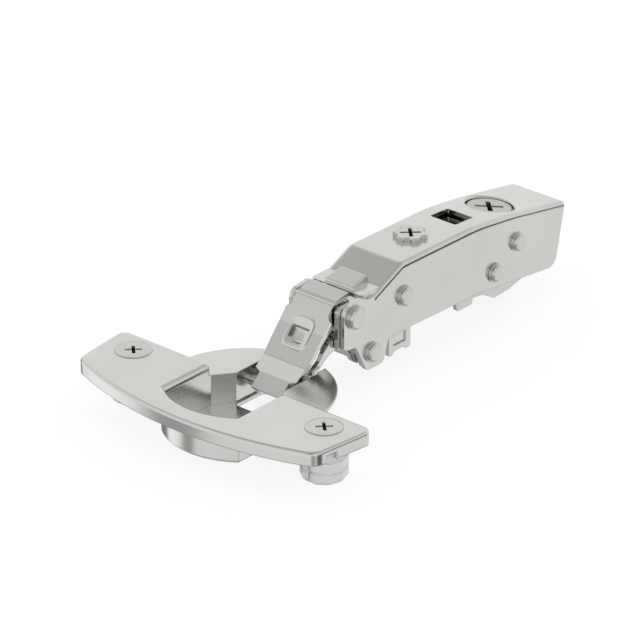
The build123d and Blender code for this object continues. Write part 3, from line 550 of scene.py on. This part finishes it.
def helical_thread(core_radius, height, pitch, length, foot, direction, steps_per_turn=48):
    """Screw thread as a small ridge carried along a helix.

    Point (i, j) stands at the angle a = 2 pi i / steps and the height pitch * a / 2 pi along
    the screw. The profile is a triangle whose foot lies just inside the core and whose crest
    stands out by the height; the height fades to nothing over the first and last half turn.
    """
    turns = length / pitch
    steps = int(turns * steps_per_turn)
    along = np.linspace(0.0, 1.0, steps + 1)
    angle = 2 * math.pi * turns * along
    fade = np.clip(np.minimum(along, 1.0 - along) * turns * 2.0, 0.0, 1.0)
    out = np.array([-0.12, 1.0, 0.88, -0.12]) * height
    rise = np.array([-0.42, -0.06, 0.06, 0.42]) * pitch
    inside = -0.12 * height
    radius = core_radius + inside + (out[None, :] - inside) * fade[:, None]
    level = length * along[:, None] + rise[None, :] * fade[:, None]
    axis = Vector(direction).normalized()
    side = axis.orthogonal().normalized()
    third = axis.cross(side)
    ring = (
        np.cos(angle)[:, None, None] * np.array(side)
        + np.sin(angle)[:, None, None] * np.array(third)
    )
    points = np.array(foot) + radius[..., None] * ring + level[..., None] * np.array(axis)
    rows = np.arange(steps)[:, None] * 4
    columns = np.arange(4)[None, :]
    following = (columns + 1) % 4
    quads = np.stack(
        [rows + columns, rows + following, rows + 4 + following, rows + 4 + columns], axis=-1
    )
    return points.reshape(-1, 3), quads.reshape(-1, 4)


def coined_rim(rings, centre, across, along, outward, bend, points=64, power=4.0):
    """Rim and walls of a coined recess as rings around its middle.

    Each ring (a, b, h, s, t) holds the points |x / a| ^ p + |y / b| ^ p = 1, shifted by s and t,
    at the height h over the sheet, which turns outwards by the bend's slope past the bend's
    place along it. The last ring is so small that it closes the floor.
    """
    ring = np.array(rings) * MM
    t = np.linspace(0.0, 2 * math.pi, points, endpoint=False)
    cosine = np.sign(np.cos(t)) * np.abs(np.cos(t)) ** (2.0 / power)
    sine = np.sign(np.sin(t)) * np.abs(np.sin(t)) ** (2.0 / power)
    x = ring[:, 0, None] * cosine + ring[:, 3, None]
    y = ring[:, 1, None] * sine + ring[:, 4, None]
    height = ring[:, 2, None] + bend[1] * np.maximum(y - bend[0] * MM, 0.0)
    place = (
        np.array(centre) * MM
        + x[..., None] * np.array(across)
        + y[..., None] * np.array(along)
        + height[..., None] * np.array(outward)
    )
    step = np.arange(points)
    following = (step + 1) % points
    row = np.arange(len(rings) - 1)[:, None] * points
    quads = np.stack(
        [row + step, row + following, row + points + following, row + points + step], axis=-1
    )
    return place.reshape(-1, 3), quads.reshape(-1, 4)


class HINGE_OT_cup(bpy.types.Operator):
    """Finish the cup with its flange."""

    bl_idname = "hinge.cup"
    bl_label = "Cup and flange"

    def execute(self, context):
        look = context.scene.hinge_finish
        finish = metal(
            "plated_cup", look.sheet_colour, 0.2, (1.0, 1.0, 1.0), 0.0008 * MM, 0.05, 0.08,
            2.2 * look.edge_radius,
        )
        dress(CUP_NODES, finish)
        return {"FINISHED"}


class HINGE_OT_links(bpy.types.Operator):
    """Finish the two stamped links."""

    bl_idname = "hinge.links"
    bl_label = "Links"

    def execute(self, context):
        look = context.scene.hinge_finish
        finish = metal(
            "plated_links", look.sheet_colour, 0.18, (1.0, 0.35, 0.35), 0.0008 * MM, 0.05, 0.08,
            look.edge_radius,
        )
        dress(LINK_NODES, finish)
        slope = math.atan2(WEB_RISE, WEB_RUN)
        points, quads = coined_rim(
            RECESS_RINGS,
            RECESS_CENTRE,
            (1.0, 0.0, 0.0),
            (0.0, math.cos(slope), math.sin(slope)),
            (0.0, -math.sin(slope), math.cos(slope)),
            WEB_BEND,
        )
        rim = mesh_piece("outer_link_recess", points, quads, finish)
        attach(rim, "outer_link")
        return {"FINISHED"}


class HINGE_OT_arm(bpy.types.Operator):
    """Finish the arm's housing and the channels nested in it."""

    bl_idname = "hinge.arm"
    bl_label = "Arm"

    def execute(self, context):
        look = context.scene.hinge_finish
        finish = metal(
            "plated_arm", look.sheet_colour, 0.2, (1.0, 0.12, 1.0), 0.0008 * MM, 0.06, 0.08,
            look.edge_radius,
        )
        dress(ARM_NODES, finish)
        inner = metal(
            "plated_carriage", look.sheet_colour, 0.25, (1.0, 0.2, 1.0), 0.001 * MM, 0.08, 0.08,
            look.edge_radius,
        )
        dress(CARRIAGE_NODES, inner)
        return {"FINISHED"}


class HINGE_OT_rivets(bpy.types.Operator):
    """Finish the rivets and pins."""

    bl_idname = "hinge.rivets"
    bl_label = "Rivets and pins"

    def execute(self, context):
        look = context.scene.hinge_finish
        finish = metal(
            "plated_rivets", look.rivet_colour, 0.2, (1.0, 1.0, 1.0), 0.0008 * MM, 0.05, 0.08,
            look.edge_radius,
        )
        dress(PIVOT_NODES, finish)
        return {"FINISHED"}


class HINGE_OT_screws(bpy.types.Operator):
    """Finish the screws and the cam, and cut the side screw's thread."""

    bl_idname = "hinge.screws"
    bl_label = "Screws and cam"

    def execute(self, context):
        look = context.scene.hinge_finish
        # Each screw and the cam get painted shade in their driver recess
        for name, (sunk, axis, reach) in SCREW_RECESSES.items():
            low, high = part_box(name)
            middle = ((low.x + high.x) / 2, (low.y + high.y) / 2, high.z - sunk)
            colour = look.cam_colour if name == "depth_adjusting_cam" else look.screw_colour
            finish = metal(
                "plated_" + name, colour, 0.22, (1.0, 1.0, 1.0), 0.001 * MM, 0.08,
                0.1, look.edge_radius, (middle, axis, reach),
            )
            dress((name,), finish)
        finish = metal(
            "plated_thread", look.screw_colour, 0.22, (1.0, 1.0, 1.0), 0.001 * MM, 0.08, 0.1,
            look.edge_radius,
        )
        low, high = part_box("side_adjusting_screw")
        axis = SCREW_RECESSES["side_adjusting_screw"][1]
        foot = ((low.x + high.x) / 2, (low.y + high.y) / 2, low.z + THREAD_FOOT)
        points, quads = helical_thread(
            SHANK_RADIUS, look.thread_height, look.thread_pitch, THREAD_LENGTH, foot, axis
        )
        thread = mesh_piece("side_screw_thread", points, quads, finish)
        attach(thread, "side_screw")
        return {"FINISHED"}


class HINGE_OT_springs(bpy.types.Operator):
    """Finish the wound springs."""

    bl_idname = "hinge.springs"
    bl_label = "Springs"

    def execute(self, context):
        look = context.scene.hinge_finish
        finish = metal(
            "spring_wire", look.spring_colour, 0.35, (1.0, 1.0, 1.0), 0.0015 * MM, 0.15, 0.1,
            look.edge_radius,
        )
        dress(SPRING_NODES, finish)
        return {"FINISHED"}


class HINGE_OT_dowels(bpy.types.Operator):
    """Finish the plastic dowels."""

    bl_idname = "hinge.dowels"
    bl_label = "Dowels"

    def execute(self, context):
        look = context.scene.hinge_finish
        dress(DOWEL_NODES, dowel_plastic("dowel_plastic", look.dowel_colour, look.edge_radius))
        return {"FINISHED"}


def soft_light(name, place, size, power):
    """Area light that looks at the part."""
    data = bpy.data.lights.new(name, "AREA")
    data.shape = "RECTANGLE"
    data.size, data.size_y = size
    data.energy = power
    light = bpy.data.objects.new(name, data)
    bpy.context.collection.objects.link(light)
    light.location = place
    direction = Vector(LIGHT_AIM) - Vector(place)
    light.rotation_mode = "QUATERNION"
    light.rotation_quaternion = direction.to_track_quat("-Z", "Y")
    return light


class HINGE_OT_stage(bpy.types.Operator):
    """Set the pale floor, the soft lights, the world and the camera."""

    bl_idname = "hinge.stage"
    bl_label = "Stage"

    def execute(self, context):
        scene = context.scene
        scene.view_settings.view_transform = "Standard"
        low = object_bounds()[0]
        half, level = FLOOR_HALF, low.z - FLOOR_GAP
        corners = np.array(
            [[-half, -half, level], [half, -half, level], [half, half, level], [-half, half, level]]
        )
        floor = mesh_piece("floor", corners, np.array([[0, 1, 2, 3]]), floor_material(), False)
        floor.visible_glossy = False
        floor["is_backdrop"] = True
        world = bpy.data.worlds.new("studio")
        scene.world = world
        world.use_nodes = True
        nodes, links = world.node_tree.nodes, world.node_tree.links
        background = nodes["Background"]
        direction = nodes.new("ShaderNodeTexCoord")
        tone = nodes.new("ShaderNodeGroup")
        tone.node_tree = studio_group()
        links.new(direction.outputs["Generated"], tone.inputs["Direction"])
        links.new(tone.outputs["Tone"], background.inputs["Color"])
        soft_light(*BACK_LIGHT)
        soft_light(*TOP_LIGHT).visible_glossy = False
        data = bpy.data.cameras.new("camera")
        data.lens = CAMERA_LENS
        data.sensor_width = CAMERA_SENSOR
        data.clip_start = 0.01
        data.clip_end = 20.0
        camera = bpy.data.objects.new("camera", data)
        context.collection.objects.link(camera)
        back = Vector(
            (
                math.sin(CAMERA_AZIMUTH) * math.cos(CAMERA_ELEVATION),
                -math.cos(CAMERA_AZIMUTH) * math.cos(CAMERA_ELEVATION),
                math.sin(CAMERA_ELEVATION),
            )
        )
        camera.location = CAMERA_PLACE
        camera.rotation_mode = "QUATERNION"
        camera.rotation_quaternion = (-back).to_track_quat("-Z", "Y")
        scene.camera = camera
        return {"FINISHED"}


def floor_material():
    """Pale floor: a glow with a little matt white under it, which keeps the shadow.

    Refractions see the glow too, and the metal's reflections see the studio in its place.
    """
    material = bpy.data.materials.new("floor")
    material.use_nodes = True
    nodes, links = material.node_tree.nodes, material.node_tree.links
    shader = nodes["Principled BSDF"]
    shader.inputs["Base Color"].default_value = (0.92, 0.92, 0.92, 1.0)
    shader.inputs["Roughness"].default_value = 0.9
    shader.inputs["Specular IOR Level"].default_value = 0.0
    path = nodes.new("ShaderNodeLightPath")
    glow = nodes.new("ShaderNodeEmission")
    glow.inputs["Color"].default_value = (1.08, 1.08, 1.08, 1.0)
    mirrored = nodes.new("ShaderNodeMath")
    mirrored.operation = "ADD"
    seen = nodes.new("ShaderNodeMath")
    seen.operation = "ADD"
    seen.use_clamp = True
    strength = nodes.new("ShaderNodeMath")
    strength.operation = "MULTIPLY"
    strength.inputs[1].default_value = 0.8
    mix = nodes.new("ShaderNodeMixShader")
    links.new(path.outputs["Is Glossy Ray"], mirrored.inputs[0])
    links.new(path.outputs["Is Transmission Ray"], mirrored.inputs[1])
    links.new(path.outputs["Is Camera Ray"], seen.inputs[0])
    links.new(mirrored.outputs[0], seen.inputs[1])
    links.new(seen.outputs[0], strength.inputs[0])
    links.new(strength.outputs[0], mix.inputs["Fac"])
    links.new(shader.outputs[0], mix.inputs[1])
    links.new(glow.outputs[0], mix.inputs[2])
    links.new(mix.outputs[0], nodes["Material Output"].inputs["Surface"])
    return material


class HINGE_PT_panel(bpy.types.Panel):
    """Panel with the hinge's colours, sizes and steps."""

    bl_idname = "HINGE_PT_panel"
    bl_label = "Concealed Cup Hinge"
    bl_space_type = "VIEW_3D"
    bl_region_type = "UI"
    bl_category = "Hinge"

    def draw(self, context):
        look = context.scene.hinge_finish
        for name in look.bl_rna.properties.keys():
            if name not in ("rna_type", "name"):
                self.layout.prop(look, name)
        for step in STEPS:
            self.layout.operator(step.bl_idname)


STEPS = (
    HINGE_OT_cup,
    HINGE_OT_links,
    HINGE_OT_arm,
    HINGE_OT_rivets,
    HINGE_OT_screws,
    HINGE_OT_springs,
    HINGE_OT_dowels,
    HINGE_OT_stage,
)
CLASSES = (HINGE_PG_finish, *STEPS, HINGE_PT_panel)


def register():
    """Make the classes and the scene's settings known to Blender."""
    for item in CLASSES:
        bpy.utils.register_class(item)
    bpy.types.Scene.hinge_finish = bpy.props.PointerProperty(type=HINGE_PG_finish)


def unregister():
    """Take the settings and the classes away again."""
    del bpy.types.Scene.hinge_finish
    for item in reversed(CLASSES):
        bpy.utils.unregister_class(item)


def main():
    """Dress the frame step by step."""
    register()
    for step in STEPS:
        group, name = step.bl_idname.split(".")
        getattr(getattr(bpy.ops, group), name)()


if __name__ == "__main__":
    main()
